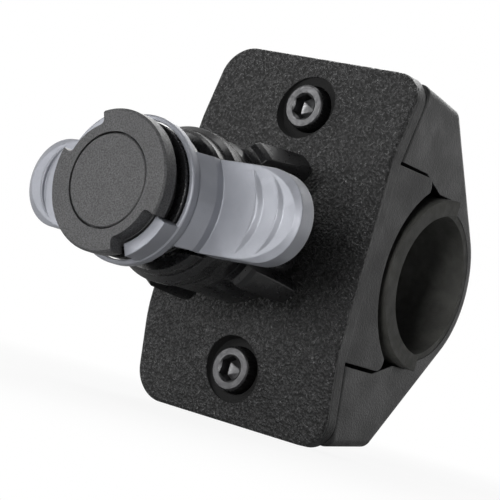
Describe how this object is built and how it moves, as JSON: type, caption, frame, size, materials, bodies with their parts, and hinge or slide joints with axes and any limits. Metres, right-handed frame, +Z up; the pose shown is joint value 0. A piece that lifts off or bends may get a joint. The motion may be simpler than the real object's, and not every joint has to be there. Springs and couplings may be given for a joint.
{
  "type": "handlebar phone mount",
  "caption": "Handlebar clamp with rubber liners, a ball joint held by a lobed nut, and a twist-lock head with a sprung winged ring that takes a phone case.",
  "frame": {"origin": "on the handlebar's axis, midway along the clamp", "axes": "+X along the handlebar, +Y from the twist-lock head towards the back of the clamp, +Z up"},
  "size_m": [0.0726, 0.1057, 0.0826],
  "materials": {
    "clamp_plastic": "fine leather grain on the plate, matte elsewhere",
    "liner_rubber": "matte",
    "screw_steel": "black oxide",
    "insert_brass": "turned",
    "stud_metal": "black anodised",
    "shell_nylon": "smooth",
    "pad_rubber": "smooth",
    "gloss_black": "polished",
    "disc_charcoal": "fine matte",
    "ring_grey": "satin",
    "spring_steel": "plain"
  },
  "bodies": {
    "clamp": {"front_clamp_half": "clamp_plastic", "rear_clamp_half": "clamp_plastic", "front_liner": "liner_rubber", "rear_liner": "liner_rubber", "upper_clamp_screw": "screw_steel", "lower_clamp_screw": "screw_steel", "upper_threaded_insert": "insert_brass", "lower_threaded_insert": "insert_brass", "ball_stud": "stud_metal", "stud_screw": "screw_steel"},
    "swing_shell": {"socket_liner": "shell_nylon"},
    "tilt_shell": {"friction_pad": "pad_rubber"},
    "head": {"ball_socket": "gloss_black", "socket_screw": "screw_steel", "spring_collar": "gloss_black", "head_core": "gloss_black", "bayonet_disc": "disc_charcoal", "centre_cap": "disc_charcoal", "disc_screws": "screw_steel", "lock_spring": "spring_steel"},
    "nut": {"lock_nut": "gloss_black"},
    "ring": {"lock_ring": "ring_grey"}
  },
  "joints": [
    {"name": "head_swing", "type": "hinge", "parent": "clamp", "child": "swing_shell", "pos_m": [0, -0.0462, 0], "axis": [0, 0, 1], "range_deg": [-14, 14]},
    {"name": "head_tilt", "type": "hinge", "parent": "swing_shell", "child": "tilt_shell", "pos_m": [0, -0.0462, 0], "axis": [1, 0, 0], "range_deg": [-14, 14]},
    {"name": "head_spin", "type": "hinge", "parent": "tilt_shell", "child": "head", "pos_m": [0, -0.0462, 0], "axis": [0, 1, 0], "continuous": true},
    {"name": "nut_turn", "type": "hinge", "parent": "head", "child": "nut", "pos_m": [0, -0.0462, 0], "axis": [0, 1, 0], "range_deg": [0, 90]},
    {"name": "ring_pull", "type": "slide", "parent": "head", "child": "ring", "axis": [0, 1, 0], "range_m": [0, 0.0035], "stiffness_N_per_m": 700, "springref_m": -0.004, "deforming": ["lock_spring"]}
  ]
}
